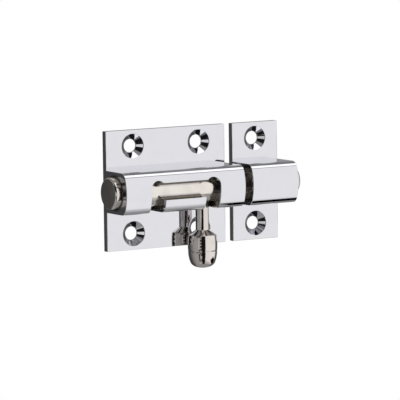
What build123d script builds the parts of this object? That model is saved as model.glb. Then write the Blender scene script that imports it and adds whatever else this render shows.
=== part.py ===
from build123d import *

import math
import os

# Toggle bolt latch, in millimetres. +X runs along the bolt towards the keeper, +Z is up and the
# front of the latch faces -Y. The origin is the centre of the latch body's back face.

# Plates of the latch body and of the keeper
PLATE_HEIGHT = 40.0
PLATE_THICKNESS = 2.2
BODY_WIDTH = 46.0
KEEPER_WIDTH = 18.0
DOOR_GAP = 3.0  # between the two plates when the door is shut
EDGE_BREAK = 0.15  # small chamfer around the cut ends of both housings

# Barrel section, the same on both housings
BARREL_HEIGHT = 14.0
BARREL_DEPTH = 13.3  # from the plate's front to the crown of the barrel's front face
CROWN_RADIUS = 15.0
CORNER_RADIUS = 2.7

# Countersunk screw holes
HOLE_DIAMETER = 4.4
COUNTERSINK_DIAMETER = 8.4
BODY_HOLE_SPACING_X = 25.5
BODY_HOLE_SPACING_Z = 29.2
KEEPER_HOLE_SPACING_Z = 29.0

# Bolt
BOLT_DIAMETER = 10.6
BOLT_CLEARANCE = 0.06  # radial, in both bores
BOLT_AXIS_DEPTH = 5.4  # from the plate's front
BOLT_TAIL = 2.5  # what stands out of the body's left end
BOLT_TIP = 2.9  # what stands out of the keeper's right end
TAIL_CHAMFER = 0.45
TIP_CHAMFER = 0.9

# Slot in the barrel: a notch at each end of a window
THROW = 21.1  # between the two notches
NOTCH_WIDTH = 5.4
NOTCH_TOP = 3.85  # above the bolt's axis
WINDOW_TOP = 3.0
WINDOW_BOTTOM = -2.65

# Knob, with levels measured down from the bolt's axis
STEM_RADIUS = 2.25
STEM_SEAT = 4.75
SHOULDER_START = 14.4
SHOULDER_END = 16.1
SHOULDER_RADIUS = 4.7
GRIP_RADIUS = 4.95
GRIP_LINE = 21.5  # the fine turned line
DOME_START = (4.57, 24.0)  # radius and level where the grip begins to close in
DOME_SIDE = (4.05, 25.6)
DOME_CORNER = (3.3, 26.4)
DOME_RIM = (2.0, 26.95)
KNOB_END = 27.25
LINE_DEPTH = 0.08
SPIGOT_RADIUS = 2.0  # over the M4 thread
SPIGOT_LENGTH = 3.4
SEAT_CLEARANCE = 0.05

# Detent
BALL_RADIUS = 1.5
BALL_GAP = 0.02  # to the bore
DETENT_HOLE_RADIUS = 1.6
SPRING_RADIUS = 1.2  # to the middle of the wire
WIRE_RADIUS = 0.16
SPRING_TURNS = 6

BODY_LEFT = -BODY_WIDTH / 2
KEEPER_LEFT = BODY_WIDTH / 2 + DOOR_GAP
AXIS_Y = -(PLATE_THICKNESS + BOLT_AXIS_DEPTH)
BORE_RADIUS = BOLT_DIAMETER / 2 + BOLT_CLEARANCE
NOTCH_X = THROW / 2
REACH = 40.0  # longer than anything it cuts


def barrel_section():
    """The barrel's outline in the YZ plane: flat sides, rounded corners and a crowned front."""
    front = -(PLATE_THICKNESS + BARREL_DEPTH)
    half = BARREL_HEIGHT / 2
    corner_z = half - CORNER_RADIUS
    # where the crown runs smoothly into the corner
    lean = math.asin(corner_z / (CROWN_RADIUS - CORNER_RADIUS))
    crown_y = front + CROWN_RADIUS * (1 - math.cos(lean))
    crown_z = CROWN_RADIUS * math.sin(lean)
    corner_y = crown_y + CORNER_RADIUS * math.cos(lean)
    middle = math.radians(45) + lean / 2
    via_y = corner_y - CORNER_RADIUS * math.cos(middle)
    via_z = corner_z + CORNER_RADIUS * math.sin(middle)
    outline = [
        Line((0, -half), (corner_y, -half)),
        ThreePointArc((corner_y, -half), (via_y, -via_z), (crown_y, -crown_z)),
        ThreePointArc((crown_y, -crown_z), (front, 0), (crown_y, crown_z)),
        ThreePointArc((crown_y, crown_z), (via_y, via_z), (corner_y, half)),
        Line((corner_y, half), (0, half)),
        Line((0, half), (0, -half)),
    ]
    return Plane.YZ * make_face(outline)


def bolt_bore(left, width):
    """The running bore, with its mouths eased."""
    bore = Pos(left + width / 2, AXIS_Y, 0) * Rot(0, 90, 0) * Cylinder(BORE_RADIUS, width)
    for x, turn in ((left, 90), (left + width, -90)):
        ease = Cone(BORE_RADIUS + 2 * EDGE_BREAK, BORE_RADIUS, 2 * EDGE_BREAK)
        ease = Pos(0, 0, EDGE_BREAK) * ease
        bore += Pos(x, AXIS_Y, 0) * Rot(0, turn, 0) * ease
    return bore


def screw_hole(x, z):
    """A countersunk hole through a plate, its wide end on the plate's front."""
    depth = (COUNTERSINK_DIAMETER - HOLE_DIAMETER) / 2
    hole = Cylinder(HOLE_DIAMETER / 2, 2 * PLATE_THICKNESS)
    sink = Cone(HOLE_DIAMETER / 2, COUNTERSINK_DIAMETER / 2, depth)
    hole += Pos(0, 0, PLATE_THICKNESS - depth / 2) * sink
    return Pos(x, 0, z) * Rot(90, 0, 0) * hole


def housing(left, width):
    """A plate and barrel of one extrusion, bored for the bolt, with its ends' edges broken."""
    plate = Pos(left + width / 2, -PLATE_THICKNESS / 2, 0) * Box(
        width, PLATE_THICKNESS, PLATE_HEIGHT
    )
    barrel = Pos(left, 0, 0) * extrude(barrel_section(), width)
    block = plate + barrel
    ends = [f for f in block.faces() if abs(f.normal_at().X) > 0.99]
    outline = [e for f in ends for e in f.edges() if e.center().Y < -EDGE_BREAK]
    block = chamfer(outline, EDGE_BREAK)
    return block - bolt_bore(left, width)


def slot():
    """The window in the barrel's front, and the notches that run from it round the lower corner."""
    top = NOTCH_TOP - NOTCH_WIDTH / 2
    cut = Pos(0, AXIS_Y - REACH / 2, (WINDOW_TOP + WINDOW_BOTTOM) / 2) * Box(
        THROW, REACH, WINDOW_TOP - WINDOW_BOTTOM
    )
    for x in (-NOTCH_X, NOTCH_X):
        front = Rot(90, 0, 0) * Cylinder(NOTCH_WIDTH / 2, REACH)
        cut += Pos(x, AXIS_Y - REACH / 2, top) * front
        cut += Pos(x, AXIS_Y - REACH / 2, top - REACH / 2) * Box(NOTCH_WIDTH, REACH, REACH)
        cut += Pos(x, AXIS_Y + NOTCH_WIDTH / 4, -REACH / 2) * Box(NOTCH_WIDTH, NOTCH_WIDTH / 2, REACH)
    return cut & Pos(0, AXIS_Y, 0) * Box(REACH, REACH, BARREL_HEIGHT + 1)


def latch_body():
    body = housing(BODY_LEFT, BODY_WIDTH) - slot()
    for x in (-BODY_HOLE_SPACING_X / 2, BODY_HOLE_SPACING_X / 2):
        for z in (-BODY_HOLE_SPACING_Z / 2, BODY_HOLE_SPACING_Z / 2):
            body -= screw_hole(x, z)
    return body


def keeper():
    piece = housing(KEEPER_LEFT, KEEPER_WIDTH)
    for z in (-KEEPER_HOLE_SPACING_Z / 2, KEEPER_HOLE_SPACING_Z / 2):
        piece -= screw_hole(KEEPER_LEFT + KEEPER_WIDTH / 2, z)
    return piece


def bolt():
    """The rod, with the cross hole that holds the knob's thread, the spring and the ball."""
    left = BODY_LEFT - BOLT_TAIL
    right = KEEPER_LEFT + KEEPER_WIDTH + BOLT_TIP
    rod = Cylinder(BOLT_DIAMETER / 2, right - left)
    rod = chamfer(rod.edges().group_by(Axis.Z)[0], TAIL_CHAMFER)
    rod = chamfer(rod.edges().group_by(Axis.Z)[-1], TIP_CHAMFER)
    rod = Pos((left + right) / 2, AXIS_Y, 0) * Rot(0, 90, 0) * rod
    thread_top = SPIGOT_LENGTH - STEM_SEAT + 2 * SEAT_CLEARANCE
    seat = Cylinder(STEM_RADIUS + SEAT_CLEARANCE, REACH)
    thread = Cylinder(SPIGOT_RADIUS, REACH)
    detent = Cylinder(DETENT_HOLE_RADIUS, REACH)
    rod -= Pos(NOTCH_X, AXIS_Y, -STEM_SEAT - REACH / 2) * seat
    rod -= Pos(NOTCH_X, AXIS_Y, thread_top - REACH / 2) * thread
    rod -= Pos(NOTCH_X, AXIS_Y, REACH / 2 - STEM_SEAT / 2) * detent
    return rod


def knob():
    """Stem, cone shoulder, grip with a fine turned line, and a domed end, turned in one piece."""
    line = LINE_DEPTH
    spigot_top = SPIGOT_LENGTH - STEM_SEAT
    start, side, corner, rim = [
        (radius, -level) for radius, level in (DOME_START, DOME_SIDE, DOME_CORNER, DOME_RIM)
    ]
    # the end face is part of a ball whose centre is on the knob's axis
    height = KNOB_END + rim[1]
    ball = (rim[0] ** 2 + height**2) / (2 * height)
    half = rim[0] / 2
    end = (half, ball - KNOB_END - math.sqrt(ball**2 - half**2))
    outline = [
        *Polyline(
            (0, spigot_top),
            (SPIGOT_RADIUS, spigot_top),
            (SPIGOT_RADIUS, -STEM_SEAT),
            (STEM_RADIUS, -STEM_SEAT),
            (STEM_RADIUS, -SHOULDER_START),
            (SHOULDER_RADIUS, -SHOULDER_END),
        ).edges(),
        ThreePointArc(
            (SHOULDER_RADIUS, -SHOULDER_END),
            (GRIP_RADIUS, -(SHOULDER_END + GRIP_LINE) / 2),
            (GRIP_RADIUS - line, -(GRIP_LINE - line)),
        ),
        *Polyline(
            (GRIP_RADIUS - line, -(GRIP_LINE - line)),
            (GRIP_RADIUS - 2 * line, -GRIP_LINE),
            (GRIP_RADIUS - line, -(GRIP_LINE + line)),
        ).edges(),
        ThreePointArc((GRIP_RADIUS - line, -(GRIP_LINE + line)), start, side),
        ThreePointArc(side, corner, rim),
        ThreePointArc(rim, end, (0, -KNOB_END)),
        Line((0, -KNOB_END), (0, spigot_top)),
    ]
    return Pos(NOTCH_X, AXIS_Y, 0) * revolve(Plane.XZ * make_face(outline), Axis.Z)


def detent_ball():
    middle = BORE_RADIUS - BALL_GAP - BALL_RADIUS
    return Pos(NOTCH_X, AXIS_Y, middle) * Sphere(BALL_RADIUS)


def detent_spring():
    """A round wire wound between the knob's spigot and the ball."""
    low = SPIGOT_LENGTH - STEM_SEAT + WIRE_RADIUS + SEAT_CLEARANCE
    # the last turn bears on the ball's flank
    rise = math.sqrt((BALL_RADIUS + WIRE_RADIUS) ** 2 - SPRING_RADIUS**2)
    high = BORE_RADIUS - BALL_GAP - BALL_RADIUS - rise - BALL_GAP
    path = Helix((high - low) / SPRING_TURNS, high - low, SPRING_RADIUS)
    wire = sweep(Plane(path @ 0, z_dir=path % 0) * Circle(WIRE_RADIUS), path)
    return Pos(NOTCH_X, AXIS_Y, low) * wire


os.makedirs("parts", exist_ok=True)
export_step(latch_body(), "parts/latch_body.step")
export_step(keeper(), "parts/keeper.step")
export_step(bolt(), "parts/bolt.step")
export_step(knob(), "parts/knob.step")
export_step(detent_ball(), "parts/detent_ball.step")
export_step(detent_spring(), "parts/detent_spring.step")
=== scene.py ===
"""Looks of the toggle bolt latch: chromed housings, a nickel-plated bolt and knob, and a pale studio."""
import math

import bmesh
import bpy
from mathutils import Matrix, Vector


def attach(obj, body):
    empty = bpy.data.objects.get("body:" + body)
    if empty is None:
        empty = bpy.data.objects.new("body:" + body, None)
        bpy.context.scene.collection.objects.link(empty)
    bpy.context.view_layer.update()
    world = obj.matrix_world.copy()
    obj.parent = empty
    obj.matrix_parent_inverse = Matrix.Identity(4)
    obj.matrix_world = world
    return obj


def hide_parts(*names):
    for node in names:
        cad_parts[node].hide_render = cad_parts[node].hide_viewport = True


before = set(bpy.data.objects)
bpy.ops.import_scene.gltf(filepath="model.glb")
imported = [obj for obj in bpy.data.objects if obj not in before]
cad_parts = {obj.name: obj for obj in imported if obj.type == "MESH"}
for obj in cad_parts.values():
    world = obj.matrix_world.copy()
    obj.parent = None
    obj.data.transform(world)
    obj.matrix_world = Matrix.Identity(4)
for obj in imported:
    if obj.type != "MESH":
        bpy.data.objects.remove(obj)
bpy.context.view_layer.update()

MM = 0.001

# ---------------------------------------------------------------- camera
LENS = 301.1                       # in millimetres, as is the sensor
SENSOR = 36.0
DISTANCE = 1.1256                  # in metres, as is the target
AZIMUTH = math.radians(31.27)      # how far the camera stands to the left of straight ahead
ELEVATION = math.radians(6.24)
ROLL = math.radians(-0.772)
TARGET = Vector((0.0144, 0.0, -0.0054))
CLIP = (0.05, 200.0)


def add_camera():
    """A long lens on the left and a little above, with a slight roll."""
    ahead = Vector((
        math.sin(AZIMUTH) * math.cos(ELEVATION),
        math.cos(AZIMUTH) * math.cos(ELEVATION),
        -math.sin(ELEVATION),
    ))
    right = Vector((math.cos(AZIMUTH), -math.sin(AZIMUTH), 0.0))
    up = right.cross(ahead)
    rolled_right = math.cos(ROLL) * right + math.sin(ROLL) * up
    rolled_up = math.cos(ROLL) * up - math.sin(ROLL) * right
    data = bpy.data.cameras.new("camera")
    data.lens = LENS
    data.sensor_width = SENSOR
    data.clip_start, data.clip_end = CLIP
    camera = bpy.data.objects.new("camera", data)
    turn = Matrix((rolled_right, rolled_up, -ahead)).transposed().to_4x4()
    camera.matrix_world = Matrix.Translation(TARGET - DISTANCE * ahead) @ turn
    bpy.context.scene.collection.objects.link(camera)
    bpy.context.scene.camera = camera


add_camera()


# ---------------------------------------------------------------- node helpers
def connect(tree, value, socket):
    """Links an output to the socket, or sets the socket to a plain value."""
    if isinstance(value, bpy.types.NodeSocket):
        tree.links.new(value, socket)
    else:
        socket.default_value = value


def maths(tree, operation, *values):
    node = tree.nodes.new("ShaderNodeMath")
    node.operation = operation
    for socket, value in zip(node.inputs, values):
        connect(tree, value, socket)
    return node.outputs[0]


def mix_colour(tree, factor, first, second):
    node = tree.nodes.new("ShaderNodeMix")
    node.data_type = "RGBA"
    connect(tree, factor, node.inputs[0])
    connect(tree, first, node.inputs[6])
    connect(tree, second, node.inputs[7])
    return node.outputs[2]


def ease(tree, value, start, end, low=0.0, high=1.0):
    """low before start, high after end, and a smooth change between."""
    node = tree.nodes.new("ShaderNodeMapRange")
    node.interpolation_type = "SMOOTHSTEP"
    for socket, number in zip(node.inputs, (value, start, end, low, high)):
        connect(tree, number, socket)
    return node.outputs[0]


def within(tree, value, low, high, soft):
    """1 where value lies from low to high, falling to 0 over the soft width on each side."""
    rise = ease(tree, value, low - soft / 2, low + soft / 2)
    fall = ease(tree, value, high - soft / 2, high + soft / 2, 1.0, 0.0)
    return maths(tree, "MULTIPLY", rise, fall)


# ---------------------------------------------------------------- studio
# The brightness all round at the height of the latch: compass direction in degrees, brightness.
# 0 is behind the latch, 90 to its right, 180 in front of it.
SURROUND = (
    (0, 0.08), (16, 0.14), (30, 0.34), (50, 0.36), (60, 0.12), (70, 0.06), (82, 0.10), (90, 0.40),
    (98, 0.60), (108, 0.95), (165, 1.0), (180, 0.76), (190, 0.60), (224, 0.54), (235, 0.34), (239, 0.95),
    (243, 0.38), (262, 0.38), (280, 0.36), (300, 0.24), (316, 0.14), (330, 0.060), (360, 0.07),
)
# Soft-edged cards round the latch: direction from and to, elevation from and to, softness, brightness.
CARDS = (
    (-1, 361, 12, 95, 24, 0.28),        # ceiling
    (230, 262, 8, 60, 4, 0.010),        # dark ceiling on the left
    (98, 190, -36, 37, 6, 1.0),         # front wall
    (98, 190, -55, -39, 6, 0.62),       # near end of the table
    (-1, 361, -100, -52, 16, 0.34),     # floor
    (234, 243, -42, -13, 3, 0.010),     # dark post on the left
)
GAP = (188, 217, -60, 40, 4, 0.008)     # the dark gap where the camera stands, with a ragged left side
RAGGED_BY = 44.0                        # how far its teeth may reach, in degrees
RAGGED_EVERY = 2.7                      # half of the way from tooth to tooth, in degrees of elevation
ZIGZAG_START = 40.0                     # keeps the zigzag's input above 0 at every elevation
TEETH = ((-42, -31, 2), (-20, 8, 2))    # the elevations between which it has them, and their softness

SOFTBOX_PLACE = (0.55, -0.42, 1.0)
SOFTBOX_SIZE = (1.5, 0.70)
SOFTBOX_BRIGHTNESS = 1.14

FLAG_BOX = ((0.048, -0.053), (0.098, -0.010))   # a black flag below the keeper, seen only in its gloss
FLAG_HEIGHT = -0.057
FLOOR_HEIGHT = -0.12
FLOOR_REACH = 30.0


def grey(tone):
    return (tone, tone, tone, 1.0)


def surround(tree, compass):
    """The brightness all round, by compass direction."""
    ramp = tree.nodes.new("ShaderNodeValToRGB")
    stops = ramp.color_ramp.elements
    while len(stops) > 1:
        stops.remove(stops[-1])
    for number, (angle, tone) in enumerate(SURROUND):
        stop = stops.new(angle / 360) if number else stops[0]
        stop.position = angle / 360
        stop.color = grey(tone)
    tree.links.new(maths(tree, "DIVIDE", compass, 360.0), ramp.inputs[0])
    return ramp.outputs[0]


def less_teeth(tree, compass, height):
    """The compass direction, less the reach of a row of uneven teeth at that elevation."""
    along = maths(tree, "DIVIDE", height, RAGGED_EVERY)
    wander = tree.nodes.new("ShaderNodeTexNoise")
    wander.noise_dimensions = "1D"
    wander.inputs["Scale"].default_value = 1.0
    wander.inputs["Detail"].default_value = 2.0
    tree.links.new(along, wander.inputs["W"])
    zigzag = maths(tree, "PINGPONG", maths(tree, "ADD", along, ZIGZAG_START), 1.0)
    tooth = maths(tree, "MULTIPLY", zigzag, wander.outputs[0])
    allowed = maths(tree, "ADD", *[within(tree, height, *stretch) for stretch in TEETH])
    reach = maths(tree, "MULTIPLY", maths(tree, "MULTIPLY", tooth, allowed), RAGGED_BY)
    return maths(tree, "SUBTRACT", compass, reach)


def studio_world():
    """White where the camera looks past the latch; for all else, the surround with its cards."""
    world = bpy.data.worlds.new("studio")
    bpy.context.scene.world = world
    world.use_nodes = True
    tree = world.node_tree
    tree.nodes.clear()
    where = tree.nodes.new("ShaderNodeTexCoord")
    split = tree.nodes.new("ShaderNodeSeparateXYZ")
    tree.links.new(where.outputs["Generated"], split.inputs[0])
    x, y, z = split.outputs
    turn = maths(tree, "DEGREES", maths(tree, "ARCTAN2", x, y))
    compass = maths(tree, "FLOORED_MODULO", turn, 360.0)
    height = maths(tree, "DEGREES", maths(tree, "ARCSINE", z))
    ragged = less_teeth(tree, compass, height)
    colour = surround(tree, compass)
    for card in (*CARDS, GAP):
        left, right, low, high, soft, tone = card
        mask = within(tree, height, low, high, soft)
        if right - left < 360:
            far_side = ragged if card is GAP else compass
            mask = maths(tree, "MULTIPLY", mask, ease(tree, compass, left - soft / 2, left + soft / 2))
            edge = ease(tree, far_side, right - soft / 2, right + soft / 2, 1.0, 0.0)
            mask = maths(tree, "MULTIPLY", mask, edge)
        colour = mix_colour(tree, mask, colour, grey(tone))
    path = tree.nodes.new("ShaderNodeLightPath")
    colour = mix_colour(tree, path.outputs["Is Camera Ray"], colour, grey(1.0))
    background = tree.nodes.new("ShaderNodeBackground")
    tree.links.new(colour, background.inputs["Color"])
    output = tree.nodes.new("ShaderNodeOutputWorld")
    tree.links.new(background.outputs[0], output.inputs["Surface"])
    world.cycles.sampling_method = "MANUAL"
    world.cycles.sample_map_resolution = 1024


def softbox():
    """A large soft light overhead, a little to the right of the latch and in front of it."""
    light = bpy.data.lights.new("softbox", "AREA")
    light.shape = "RECTANGLE"
    light.size, light.size_y = SOFTBOX_SIZE
    light.energy = SOFTBOX_BRIGHTNESS * math.pi * light.size * light.size_y
    lamp = bpy.data.objects.new("softbox", light)
    lamp.location = SOFTBOX_PLACE
    bpy.context.scene.collection.objects.link(lamp)


def sheet_object(name, low, high, height, material):
    """A level rectangle that belongs to the studio, not to the latch."""
    mesh = bpy.data.meshes.new(name)
    corners = [(low[0], low[1]), (high[0], low[1]), (high[0], high[1]), (low[0], high[1])]
    mesh.from_pydata([(x, y, height) for x, y in corners], [], [(0, 1, 2, 3)])
    mesh.materials.append(material)
    sheet = bpy.data.objects.new(name, mesh)
    bpy.context.scene.collection.objects.link(sheet)
    sheet.visible_diffuse = False
    sheet.visible_shadow = False
    return sheet


def plain_emission(name, tone, strength):
    """A material that only glows, whatever light falls on it."""
    material = bpy.data.materials.new(name)
    material.use_nodes = True
    tree = material.node_tree
    tree.nodes.clear()
    glow = tree.nodes.new("ShaderNodeEmission")
    glow.inputs["Color"].default_value = grey(tone)
    glow.inputs["Strength"].default_value = strength
    output = tree.nodes.new("ShaderNodeOutputMaterial")
    tree.links.new(glow.outputs[0], output.inputs["Surface"])
    return material


def floor():
    """A pale floor, bright enough to fade into the white behind it, and left out of the gloss."""
    white = plain_emission("floor_white", 1.0, 1.0)
    low, high = (-FLOOR_REACH, -FLOOR_REACH), (FLOOR_REACH, FLOOR_REACH)
    sheet_object("floor", low, high, FLOOR_HEIGHT, white).visible_glossy = False


def flag():
    """The black card that gives the chrome's lower edges their dark line. The camera doesn't see it."""
    black = plain_emission("flag_black", 0.0, 0.0)
    sheet_object("flag", *FLAG_BOX, FLAG_HEIGHT, black).visible_camera = False


studio_world()
softbox()
floor()
flag()


# ---------------------------------------------------------------- dimensions, in millimetres
# The same driving dimensions as the CAD model, for the pieces that stand for its plain solids.
PLATE_HALF = 20.0
PLATE_FRONT = -2.2
BODY_ENDS = (-23.0, 23.0)
KEEPER_ENDS = (26.0, 44.0)
BARREL_HALF = 7.0
BARREL_FRONT = -15.5
CROWN_RADIUS = 15.0
CORNER_RADIUS = 2.7
HOLE_RADIUS = 2.2
SINK_RADIUS = 4.2
BODY_HOLES = [(x, z) for x in (-12.75, 12.75) for z in (-14.6, 14.6)]
KEEPER_HOLES = [(35.0, -14.5), (35.0, 14.5)]
AXIS_Y = -7.6
BORE_RADIUS = 5.36
BOLT_RADIUS = 5.3
BOLT_ENDS = (-25.5, 46.9)
NOTCH_X = 10.55
NOTCH_RADIUS = 2.7
NOTCH_TOP = 3.85
NOTCH_BACK = AXIS_Y + NOTCH_RADIUS
WINDOW = (-2.65, 3.0)
EDGE_ROOM = 0.25            # how much plain face the rounding needs beside an edge
CLEAR_OF_SLOT = (
    (WINDOW[0] - EDGE_ROOM, WINDOW[0] + EDGE_ROOM),
    (WINDOW[1] - EDGE_ROOM, NOTCH_TOP + EDGE_ROOM),
)
UNDERCUT_TOP = -2.0         # inside the bore, where each notch's cut through the underside starts
EDGE_RADIUS = 0.18          # of the housings' cut and punched edges, rounded by polishing
DRILLED_EDGE = 0.08         # of the edges of the bolt's cross hole
REACH = 40.0                # how far forward the slot's cutters go, well past the barrel
PAST = 1.0                  # how far a cutter goes on past the face where it comes out
OVERLAP = 0.5               # how far one cutter of a notch runs into the other


# ---------------------------------------------------------------- mesh helpers
def new_piece(name, points, faces):
    """A mesh from points in millimetres."""
    mesh = bpy.data.meshes.new(name)
    mesh.from_pydata([tuple(MM * c for c in point) for point in points], [], faces)
    mesh.validate()
    piece = bpy.data.objects.new(name, mesh)
    bpy.context.scene.collection.objects.link(piece)
    return piece


def arc(centre, radius, start, end, steps):
    """Points along an arc in a plane, angles in degrees, both ends included."""
    points = []
    for step in range(steps + 1):
        angle = math.radians(start + (end - start) * step / steps)
        points.append((centre[0] + radius * math.cos(angle), centre[1] + radius * math.sin(angle)))
    return points


def swelling(start, middle, end, steps):
    """Points along the circle through three points."""
    (ax, ay), (bx, by), (cx, cy) = start, middle, end
    twice = 2 * (ax * (by - cy) + bx * (cy - ay) + cx * (ay - by))
    squares = [x * x + y * y for x, y in (start, middle, end)]
    ox = (squares[0] * (by - cy) + squares[1] * (cy - ay) + squares[2] * (ay - by)) / twice
    oy = (squares[0] * (cx - bx) + squares[1] * (ax - cx) + squares[2] * (bx - ax)) / twice
    first = math.degrees(math.atan2(ay - oy, ax - ox))
    last = math.degrees(math.atan2(cy - oy, cx - ox))
    last -= 360 * round((last - first) / 360)
    return arc((ox, oy), math.hypot(ax - ox, ay - oy), first, last, steps)


def extrusion(name, outline, low, high, place):
    """A closed prism: place(across, up, along) puts an outline point at a level along its length."""
    count = len(outline)
    points = [place(a, b, level) for level in (low, high) for a, b in outline]
    faces = [(i, (i + 1) % count, count + (i + 1) % count, count + i) for i in range(count)]
    faces.append(tuple(reversed(range(count))))
    faces.append(tuple(range(count, 2 * count)))
    return new_piece(name, points, faces)


ON_AXIS = 1e-6              # a radius under this is none


def lathe(name, profile, place, steps=128):
    """A closed turned solid from a profile of (radius, level); place(across, up, level) sets its axis."""
    points, faces, rings = [], [], []
    for radius, level in profile:
        if radius < ON_AXIS:
            rings.append([len(points)])
            points.append(place(0.0, 0.0, level))
            continue
        ring = []
        for step in range(steps):
            angle = 2 * math.pi * step / steps
            ring.append(len(points))
            points.append(place(radius * math.cos(angle), radius * math.sin(angle), level))
        rings.append(ring)
    for first, second in zip(rings, rings[1:]):
        for step in range(steps):
            after = (step + 1) % steps
            if len(first) == 1:
                faces.append((first[0], second[step], second[after]))
            elif len(second) == 1:
                faces.append((first[step], second[0], first[after]))
            else:
                faces.append((first[step], second[step], second[after], first[after]))
    return new_piece(name, points, faces)


NEARLY_STRAIGHT = math.radians(178)


def rounded(profile, radii, steps):
    """The profile with an arc of its own radius at each inner corner; 0 leaves the corner sharp."""
    result = [profile[0]]
    for before, corner, after, radius in zip(profile, profile[1:], profile[2:], radii):
        point = Vector(corner)
        back = (Vector(before) - point).normalized()
        ahead = (Vector(after) - point).normalized()
        opening = back.angle(ahead)
        if radius <= 0 or opening > NEARLY_STRAIGHT:
            result.append(corner)
            continue
        run = radius / math.tan(opening / 2)
        centre = point + (back + ahead).normalized() * (radius / math.sin(opening / 2))
        start = point + back * run - centre
        end = point + ahead * run - centre
        for step in range(steps + 1):
            result.append(tuple(centre + radius * start.slerp(end, step / steps)))
    result.append(profile[-1])
    return result


def outward(piece):
    """Faces of a closed mesh all look outwards."""
    work = bmesh.new()
    work.from_mesh(piece.data)
    bmesh.ops.recalc_face_normals(work, faces=work.faces)
    work.to_mesh(piece.data)
    work.free()


def applied(piece):
    """The piece with its modifiers made part of its mesh."""
    graph = bpy.context.evaluated_depsgraph_get()
    graph.update()
    made = bpy.data.meshes.new_from_object(
        piece.evaluated_get(graph), preserve_all_data_layers=True, depsgraph=graph
    )
    made.name = piece.name
    piece.modifiers.clear()
    piece.data = made


def cut(piece, cutters):
    """Cuts the cutters out of the piece one after another, and removes them."""
    outward(piece)
    for cutter in cutters:
        outward(cutter)
        step = piece.modifiers.new("cut", "BOOLEAN")
        step.operation = "DIFFERENCE"
        step.solver = "EXACT"
        step.object = cutter
        applied(piece)
        bpy.data.objects.remove(cutter)


WELD = 0.004                # points closer than this, left by the cutting, become one


def round_edges(piece, radius, keep_sharp=None, steps=3, sharper_than=32):
    """Rounds the piece's sharp edges, but for those that keep_sharp(one end, other end) names."""
    work = bmesh.new()
    work.from_mesh(piece.data)
    bmesh.ops.remove_doubles(work, verts=work.verts, dist=WELD * MM)
    bmesh.ops.dissolve_degenerate(work, edges=work.edges, dist=WELD * MM)
    weight = work.edges.layers.float.new("bevel_weight_edge")
    for edge in work.edges:
        sharp = edge.calc_face_angle(0.0) > math.radians(sharper_than)
        if sharp and keep_sharp and keep_sharp(*[vertex.co / MM for vertex in edge.verts]):
            edge.smooth = False
        elif sharp:
            edge[weight] = 1.0
    for face in work.faces:
        face.smooth = True
    work.to_mesh(piece.data)
    work.free()
    bevel = piece.modifiers.new("edges", "BEVEL")
    bevel.width = radius * MM
    bevel.segments = steps
    bevel.limit_method = "WEIGHT"
    bevel.use_clamp_overlap = False
    bevel.harden_normals = True
    bevel.miter_outer = "MITER_ARC"
    applied(piece)


# ---------------------------------------------------------------- housings
def along_x(across, up, level):
    return (level, across, up)


def along_y(across, up, level):
    return (across, level, up)


def along_z(across, up, level):
    return (across, up, level)


def at(place, x=0.0, y=0.0, z=0.0):
    """A place function moved to stand at x, y, z."""
    def moved(across, up, level):
        point = place(across, up, level)
        return (point[0] + x, point[1] + y, point[2] + z)
    return moved


def housing_outline():
    """Plate and barrel as one section in the YZ plane."""
    corner_z = BARREL_HALF - CORNER_RADIUS
    lean = math.asin(corner_z / (CROWN_RADIUS - CORNER_RADIUS))
    crown_y = BARREL_FRONT + CROWN_RADIUS
    corner_y = crown_y - (CROWN_RADIUS - CORNER_RADIUS) * math.cos(lean)
    lean = math.degrees(lean)
    lower = arc((corner_y, -corner_z), CORNER_RADIUS, 270, 180 + lean, 18)
    crown = arc((crown_y, 0.0), CROWN_RADIUS, 180 + lean, 180 - lean, 28)
    # no lengthwise edges close beside the slot's own edges, where the rounding needs its room
    crown = [p for p in crown if not any(low < p[1] < high for low, high in CLEAR_OF_SLOT)]
    upper = arc((corner_y, corner_z), CORNER_RADIUS, 180 - lean, 90, 18)
    return [
        (0.0, -PLATE_HALF), (PLATE_FRONT, -PLATE_HALF), (PLATE_FRONT, -BARREL_HALF),
        *lower, *crown[1:-1], *upper,
        (PLATE_FRONT, BARREL_HALF), (PLATE_FRONT, PLATE_HALF), (0.0, PLATE_HALF),
    ]


def finished(piece, body, node):
    """The piece rides on its body and stands for the node's plain solid, which it hides."""
    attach(piece, body)
    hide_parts(node)
    return piece


def screw_cutter(x, z):
    """A screw hole with its 90-degree countersink."""
    sink = PLATE_FRONT + SINK_RADIUS - HOLE_RADIUS
    profile = [
        (0.0, PAST), (HOLE_RADIUS, PAST), (HOLE_RADIUS, sink),
        (SINK_RADIUS + PAST, PLATE_FRONT - PAST), (0.0, PLATE_FRONT - PAST),
    ]
    return lathe("screw_cutter", profile, at(along_y, x=x, z=z), steps=96)


def housing(name, ends, holes):
    """One length of the extrusion, and the cutters for its bore and screw holes."""
    piece = extrusion(name, housing_outline(), *ends, along_x)
    left, right = ends[0] - PAST, ends[1] + PAST
    bore = [(0.0, left), (BORE_RADIUS, left), (BORE_RADIUS, right), (0.0, right)]
    cutters = [lathe("bore_cutter", bore, at(along_x, y=AXIS_Y), steps=144)]
    cutters += [screw_cutter(x, z) for x, z in holes]
    return piece, cutters


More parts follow.
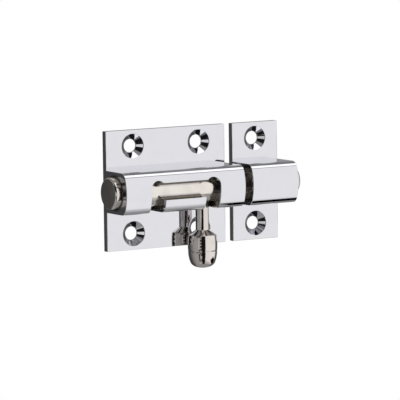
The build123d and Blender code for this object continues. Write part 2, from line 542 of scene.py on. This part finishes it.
def slot_cutters():
    """The window in the barrel's front, and at each end a notch that runs round the lower corner."""
    low, high = WINDOW
    bottom = -BARREL_HALF - PAST
    middle = [(-NOTCH_X, low), (NOTCH_X, low), (NOTCH_X, high), (-NOTCH_X, high)]
    cutters = [extrusion("window_cutter", middle, -REACH, AXIS_Y, along_y)]
    for x in (-NOTCH_X, NOTCH_X):
        crest = arc((x, NOTCH_TOP - NOTCH_RADIUS), NOTCH_RADIUS, 0, 180, 40)
        left, right = x - NOTCH_RADIUS, x + NOTCH_RADIUS
        front = [(right, bottom), *crest, (left, bottom)]
        cutters.append(extrusion("notch_cutter", front, -REACH, AXIS_Y, along_y))
        under = [(left, bottom), (right, bottom), (right, UNDERCUT_TOP), (left, UNDERCUT_TOP)]
        cutters.append(extrusion("notch_end_cutter", under, AXIS_Y - OVERLAP, NOTCH_BACK, along_y))
    return cutters


NEAR = 0.01                 # what counts as lying on a line
NEAR_A_MOUTH = 0.3          # and as being at an end of the bore


def left_sharp(first, second):
    """Whether an edge is the inner corner of plate and barrel, or on the bore away from its mouths."""
    middle = (first + second) / 2
    if abs(middle.y - PLATE_FRONT) < NEAR and abs(abs(middle.z) - BARREL_HALF) < NEAR:
        return True
    mouths = [end for end in (*BODY_ENDS, *KEEPER_ENDS) if abs(middle.x - end) < NEAR_A_MOUTH]
    off = max(abs(math.hypot(point.y - AXIS_Y, point.z) - BORE_RADIUS) for point in (first, second))
    return off < 2 * NEAR and not mouths


def latch_body():
    piece, cutters = housing("latch_body_shell", BODY_ENDS, BODY_HOLES)
    cut(piece, cutters + slot_cutters())
    round_edges(piece, EDGE_RADIUS, keep_sharp=left_sharp)
    return finished(piece, "body", "latch_body")


def keeper():
    piece, cutters = housing("keeper_shell", KEEPER_ENDS, KEEPER_HOLES)
    cut(piece, cutters)
    round_edges(piece, EDGE_RADIUS, keep_sharp=left_sharp)
    return finished(piece, "keeper_side", "keeper")


# ---------------------------------------------------------------- bolt and knob
STEM_RADIUS = 2.25
STEM_SEAT = 4.75
SPIGOT_RADIUS = 2.0
SPIGOT_LENGTH = 3.4
SEAT_CLEARANCE = 0.05
DETENT_HOLE_RADIUS = 1.6
TAIL_CHAMFER = 0.45
TIP_CHAMFER = 0.9
BOLT_CORNERS = (0.15, 0.2, 0.3, 0.25)           # radii, from the tail to the tip
KNOB_CORNERS = (0.2, 0.0, 0.15, 0.35, 0.3)      # radii, from the spigot's top to the shoulder
# The knob's outline, as radius and height from the bolt's axis.
STEM_BOTTOM = -14.4
SHOULDER = (4.7, -16.1)
WIDEST = (4.95, -18.8)
LINE_HEIGHT = -21.5         # the fine line turned round the grip
LINE_HALF_WIDTH = 0.12
LINE_DEPTH = 0.11
GRIP_AT_LINE = 4.87
BELOW_LINE = (4.57, -24.0)
GRIP_END = (4.05, -25.6)
DOME = (3.3, -26.4)
DOME_END = (2.0, -26.95)
KNOB_BOTTOM = -27.25


def bolt():
    """The rod with its bevelled ends, drilled across for the knob's spigot, the spring and the ball."""
    left, right = BOLT_ENDS
    profile = [
        (0.0, left), (BOLT_RADIUS - TAIL_CHAMFER, left), (BOLT_RADIUS, left + TAIL_CHAMFER),
        (BOLT_RADIUS, right - TIP_CHAMFER), (BOLT_RADIUS - TIP_CHAMFER, right), (0.0, right),
    ]
    profile = rounded(profile, BOLT_CORNERS, steps=6)
    piece = lathe("bolt_rod", profile, at(along_x, y=AXIS_Y), steps=160)
    top = SPIGOT_LENGTH - STEM_SEAT + 2 * SEAT_CLEARANCE
    seat = STEM_RADIUS + SEAT_CLEARANCE
    through = BOLT_RADIUS + PAST
    drill = [
        (0.0, -through), (seat, -through), (seat, -STEM_SEAT), (SPIGOT_RADIUS, -STEM_SEAT),
        (SPIGOT_RADIUS, top), (DETENT_HOLE_RADIUS, top), (DETENT_HOLE_RADIUS, through), (0.0, through),
    ]
    cut(piece, [lathe("cross_drill", drill, at(along_z, x=NOTCH_X, y=AXIS_Y), steps=96)])
    round_edges(piece, DRILLED_EDGE, steps=2)
    return finished(piece, "bolt_and_knob", "bolt")


def knob():
    """Stem, cone shoulder, grip with a fine turned line, and a domed end, turned in one piece."""
    spigot_top = SPIGOT_LENGTH - STEM_SEAT
    spigot = [(0.0, spigot_top), (SPIGOT_RADIUS, spigot_top)]
    stem = [(SPIGOT_RADIUS, -STEM_SEAT), (STEM_RADIUS, -STEM_SEAT), (STEM_RADIUS, STEM_BOTTOM)]
    upper = swelling(SHOULDER, WIDEST, (GRIP_AT_LINE, LINE_HEIGHT + LINE_HALF_WIDTH), 14)
    line = [(GRIP_AT_LINE - LINE_DEPTH, LINE_HEIGHT)]
    lower = swelling((GRIP_AT_LINE, LINE_HEIGHT - LINE_HALF_WIDTH), BELOW_LINE, GRIP_END, 12)
    dome = swelling(GRIP_END, DOME, DOME_END, 10)
    bottom = (0.0, KNOB_BOTTOM)
    end = swelling(DOME_END, bottom, (-DOME_END[0], DOME_END[1]), 16)
    end = [point for point in end if point[0] > ON_AXIS]
    profile = spigot + stem + upper + line + lower + dome[1:] + end[1:] + [bottom]
    plain = len(profile) - 2 - len(KNOB_CORNERS)
    profile = rounded(profile, (*KNOB_CORNERS, *[0.0] * plain), steps=6)
    piece = lathe("knob_turned", profile, at(along_z, x=NOTCH_X, y=AXIS_Y), steps=144)
    outward(piece)
    for face in piece.data.polygons:
        face.use_smooth = True
    return finished(piece, "bolt_and_knob", "knob")


# ---------------------------------------------------------------- materials
def noise(tree, place, scale, detail=2.0, stretch=None):
    """Soft noise of so many bumps to the metre, longer along an axis whose stretch is under 1."""
    if stretch:
        mapping = tree.nodes.new("ShaderNodeMapping")
        mapping.inputs["Scale"].default_value = stretch
        tree.links.new(place, mapping.inputs["Vector"])
        place = mapping.outputs[0]
    node = tree.nodes.new("ShaderNodeTexNoise")
    node.inputs["Scale"].default_value = scale
    node.inputs["Detail"].default_value = detail
    tree.links.new(place, node.inputs["Vector"])
    return node.outputs[0]


def pits(tree, place, scale, radius, share):
    """1 in small round pits, of that radius in metres, in only a share of the pattern's cells."""
    cells = tree.nodes.new("ShaderNodeTexVoronoi")
    cells.inputs["Scale"].default_value = scale
    tree.links.new(place, cells.inputs["Vector"])
    split = tree.nodes.new("ShaderNodeSeparateColor")
    tree.links.new(cells.outputs["Color"], split.inputs[0])
    chosen = maths(tree, "LESS_THAN", split.outputs[0], share)
    inside = ease(tree, cells.outputs["Distance"], 0.5 * radius * scale, radius * scale, 1.0, 0.0)
    return maths(tree, "MULTIPLY", chosen, inside)


def raised(tree, height, depth, under=None):
    """The surface's normal with a relief of that depth in metres added to it."""
    node = tree.nodes.new("ShaderNodeBump")
    node.inputs["Distance"].default_value = depth
    tree.links.new(height, node.inputs["Height"])
    if under:
        tree.links.new(under, node.inputs["Normal"])
    return node.outputs[0]


# The inner walls' darkening: partly duller thin plating, partly painted shade in the slot, the bore and the
# gap between body and keeper.
SKIN = (0.30, 0.75)         # the depths below the front between which the full plating fades
SKIN_SOFT = 0.2             # how softly it ends elsewhere
LIP_PLATED = 1.1            # how much deeper it reaches at the slot's long lips
MOUTH_RIM = 1.0             # how wide the darkening, partly thin plating and partly painted shade, shows round the bore on the outer ends
ROOT_PLATED = 0.8           # how far in front of the plate it starts


def inner_walls_plating_and_shade(tree, place):
    """1 on the housings' inner walls, darkened partly as thin plating and partly as painted shade: the slot,
    the bore and the facing ends.
    """
    split = tree.nodes.new("ShaderNodeSeparateXYZ")
    tree.links.new(place, split.inputs[0])
    x, y, z = [maths(tree, "DIVIDE", socket, MM) for socket in split.outputs]
    bulge = maths(tree, "DIVIDE", maths(tree, "MULTIPLY", z, z), 2 * CROWN_RADIUS)
    depth = maths(tree, "SUBTRACT", y, maths(tree, "ADD", bulge, BARREL_FRONT))
    window = within(tree, maths(tree, "ABSOLUTE", x), -1.0, NOTCH_X - NOTCH_RADIUS, SKIN_SOFT)
    depth = maths(tree, "SUBTRACT", depth, maths(tree, "MULTIPLY", window, LIP_PLATED))
    inside = within(tree, maths(tree, "ABSOLUTE", z), -1.0, BARREL_HALF - 2 * SKIN_SOFT, SKIN_SOFT)
    inside = maths(tree, "MULTIPLY", inside, ease(tree, depth, *SKIN))
    behind = within(tree, y, BARREL_FRONT, PLATE_FRONT - ROOT_PLATED, SKIN_SOFT)
    inside = maths(tree, "MULTIPLY", inside, behind)
    between = within(tree, x, BODY_ENDS[0] + SKIN_SOFT, KEEPER_ENDS[1] - SKIN_SOFT, SKIN_SOFT / 2)
    aside = maths(tree, "SUBTRACT", y, AXIS_Y)
    squares = maths(tree, "ADD", maths(tree, "MULTIPLY", aside, aside), maths(tree, "MULTIPLY", z, z))
    off_axis = maths(tree, "SQRT", squares)
    mouth = ease(tree, off_axis, BORE_RADIUS + SKIN_SOFT, BORE_RADIUS + MOUTH_RIM, 1.0, 0.0)
    return maths(tree, "MULTIPLY", inside, maths(tree, "MAXIMUM", between, mouth))


CLOUDS = 170.0              # bumps to the metre, as are the wear and the pits' cells
WEAR = 420.0
PIT_CELLS = 260.0
PIT_RADIUS = 0.00011        # in metres, as is the depth
PIT_DEPTH = -0.00002
PIT_COLOUR = (0.06, 0.055, 0.05, 1.0)
PIT_ROUGHER = 0.4
# the inner walls' colour: thin plating, darkened further as painted shade
DULL_PLATING_AND_SHADE = (0.21, 0.195, 0.175, 1.0)
THIN_ROUGHER = 0.18


def metal(name, bright, dull, roughness, reliefs, pit_share, inner_wall_darkening=None):
    """Metal clouded between two colours, with tiny pits and reliefs of (scale, detail, stretch, depth)."""
    material = bpy.data.materials.new(name)
    material.use_nodes = True
    tree = material.node_tree
    shader = tree.nodes["Principled BSDF"]
    shader.inputs["Metallic"].default_value = 1.0
    place = tree.nodes.new("ShaderNodeTexCoord").outputs["Object"]
    clouds = ease(tree, noise(tree, place, CLOUDS, 4.0), 0.35, 0.75)
    speck = pits(tree, place, PIT_CELLS, PIT_RADIUS, pit_share)
    colour = mix_colour(tree, clouds, (*bright, 1.0), (*dull, 1.0))
    colour = mix_colour(tree, speck, colour, PIT_COLOUR)
    worn = ease(tree, noise(tree, place, WEAR, 5.0), 0.3, 0.8, *roughness)
    # darkens the inner walls' colour: partly thin plating, partly painted shade
    if inner_wall_darkening:
        mask = inner_wall_darkening(tree, place)
        colour = mix_colour(tree, mask, colour, DULL_PLATING_AND_SHADE)
        worn = maths(tree, "ADD", worn, maths(tree, "MULTIPLY", mask, THIN_ROUGHER))
    worn = maths(tree, "ADD", worn, maths(tree, "MULTIPLY", speck, PIT_ROUGHER))
    tree.links.new(colour, shader.inputs["Base Color"])
    tree.links.new(worn, shader.inputs["Roughness"])
    normal = None
    for scale, detail, stretch, depth in reliefs:
        normal = raised(tree, noise(tree, place, scale, detail, stretch), depth, normal)
    tree.links.new(raised(tree, speck, PIT_DEPTH, normal), shader.inputs["Normal"])
    return material


def chrome():
    """Bright chrome on an extrusion: a slight waviness and faint polishing lines along its length."""
    waves = (110.0, 1.0, None, 0.0000035)
    lines = (3000.0, 2.0, (0.012, 1.0, 1.0), 0.00000006)
    bright, dull = (0.745, 0.745, 0.78), (0.725, 0.725, 0.765)
    # its inner walls get the dark colour, partly thin plating and partly painted shade
    return metal("chrome", bright, dull, (0.03, 0.065), (waves, lines), 0.05, inner_walls_plating_and_shade)


def drawn_nickel():
    """Nickel on drawn rod: a fine grain, and drawing lines along it."""
    grain = (2600.0, 3.0, (0.25, 1.0, 1.0), 0.0000022)
    lines = (1500.0, 2.0, (0.015, 1.0, 1.0), 0.0000010)
    return metal("nickel_rod", (0.81, 0.765, 0.715), (0.72, 0.675, 0.63), (0.11, 0.19), (grain, lines), 0.12)


def turned_nickel():
    """Nickel on a turned knob: fine rings round its axis and a slight waviness from the tool."""
    rings = (2400.0, 2.0, (0.02, 0.02, 1.0), 0.0000014)
    waves = (420.0, 2.0, (0.6, 0.6, 1.0), 0.000004)
    return metal("nickel_knob", (0.78, 0.72, 0.68), (0.66, 0.61, 0.58), (0.06, 0.12), (waves, rings), 0.10)


def hardened_steel():
    """Plain ground steel for the hidden ball and spring."""
    grain = (3500.0, 3.0, None, 0.0000015)
    return metal("hardened_steel", (0.60, 0.60, 0.61), (0.47, 0.46, 0.45), (0.16, 0.30), (grain,), 0.05)


FINISHES = {"chrome": chrome(), "rod": drawn_nickel(), "knob": turned_nickel(), "steel": hardened_steel()}
NODE_FINISH = {
    "latch_body": "chrome", "keeper": "chrome", "bolt": "rod", "knob": "knob",
    "detent_ball": "steel", "detent_spring": "steel",
}
for node, finish in NODE_FINISH.items():
    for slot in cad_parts[node].material_slots:
        slot.material = FINISHES[finish]
for make, node in ((latch_body, "latch_body"), (keeper, "keeper"), (bolt, "bolt"), (knob, "knob")):
    made = make()
    made.data.materials.clear()
    made.data.materials.append(FINISHES[NODE_FINISH[node]])

bpy.context.scene.view_settings.view_transform = "Standard"
